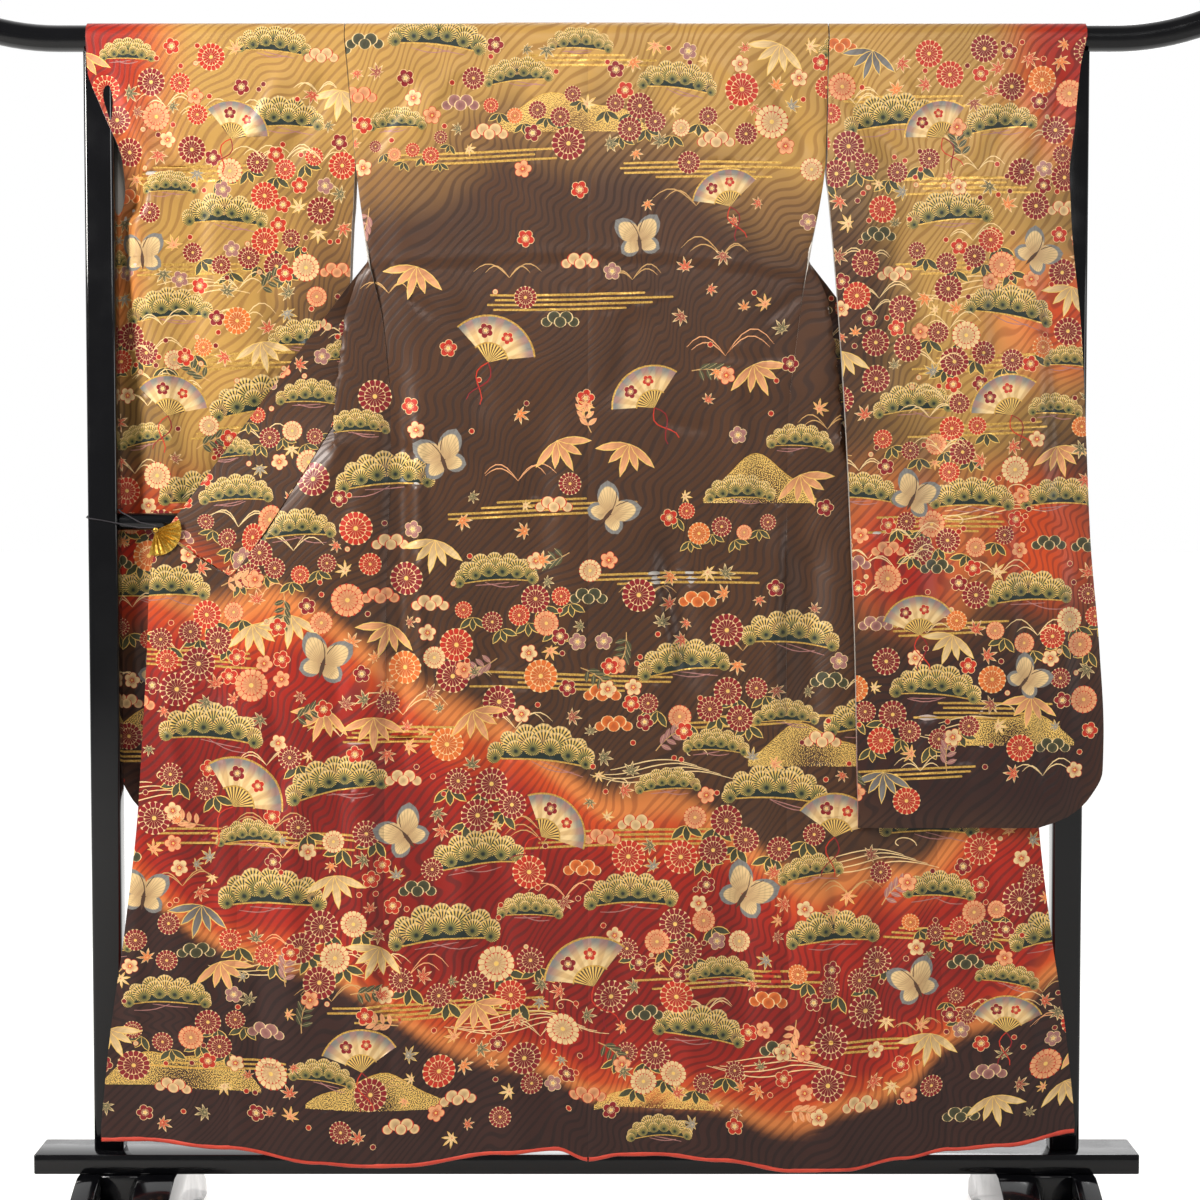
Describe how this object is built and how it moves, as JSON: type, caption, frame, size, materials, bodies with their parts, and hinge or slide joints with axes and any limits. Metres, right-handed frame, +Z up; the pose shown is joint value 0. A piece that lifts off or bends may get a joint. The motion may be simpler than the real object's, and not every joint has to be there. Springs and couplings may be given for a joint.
{
  "type": "furisode kimono on a rack",
  "caption": "Long-sleeved silk kimono spread open, back outwards, over the rod of a black lacquered garment rack, its front edges held out by small fan clips.",
  "frame": {"origin": "on the floor under the middle of the rack, midway between the feet", "axes": "+X to the viewer's right along the rod, +Y away from the viewer, from the shown back of the kimono to its fronts, +Z up"},
  "size_m": [1.7754, 0.464, 1.6827],
  "materials": {
    "silk": "figured satin silk, vermilion, gold and brown shaded ground with flower and fan motifs",
    "hem_lining": "plain vermilion silk lining, rolled at the hem",
    "black_lacquer": "black high gloss lacquer on wood",
    "gilt_metal": "bright gilt pleated sheet",
    "thread": "dark twisted thread"
  },
  "bodies": {
    "root": {"back_left": "silk", "front_left": "silk", "collar_left": "silk", "overlap_left": "silk", "hem_roll_left": "hem_lining", "back_right": "silk", "front_right": "silk", "collar_right": "silk", "overlap_right": "silk", "hem_roll_right": "hem_lining", "sleeve_left": "silk", "sleeve_right": "silk", "top_bar": "black_lacquer", "base_board": "black_lacquer", "mid_bar": "black_lacquer", "post_left": "black_lacquer", "foot_left_outer": "black_lacquer", "foot_left_inner": "black_lacquer", "foot_left_block": "black_lacquer", "fan_clip_left": "gilt_metal", "clip_thread_left": "thread", "post_right": "black_lacquer", "foot_right_outer": "black_lacquer", "foot_right_inner": "black_lacquer", "foot_right_block": "black_lacquer", "fan_clip_right": "gilt_metal", "clip_thread_right": "thread"}
  },
  "joints": []
}
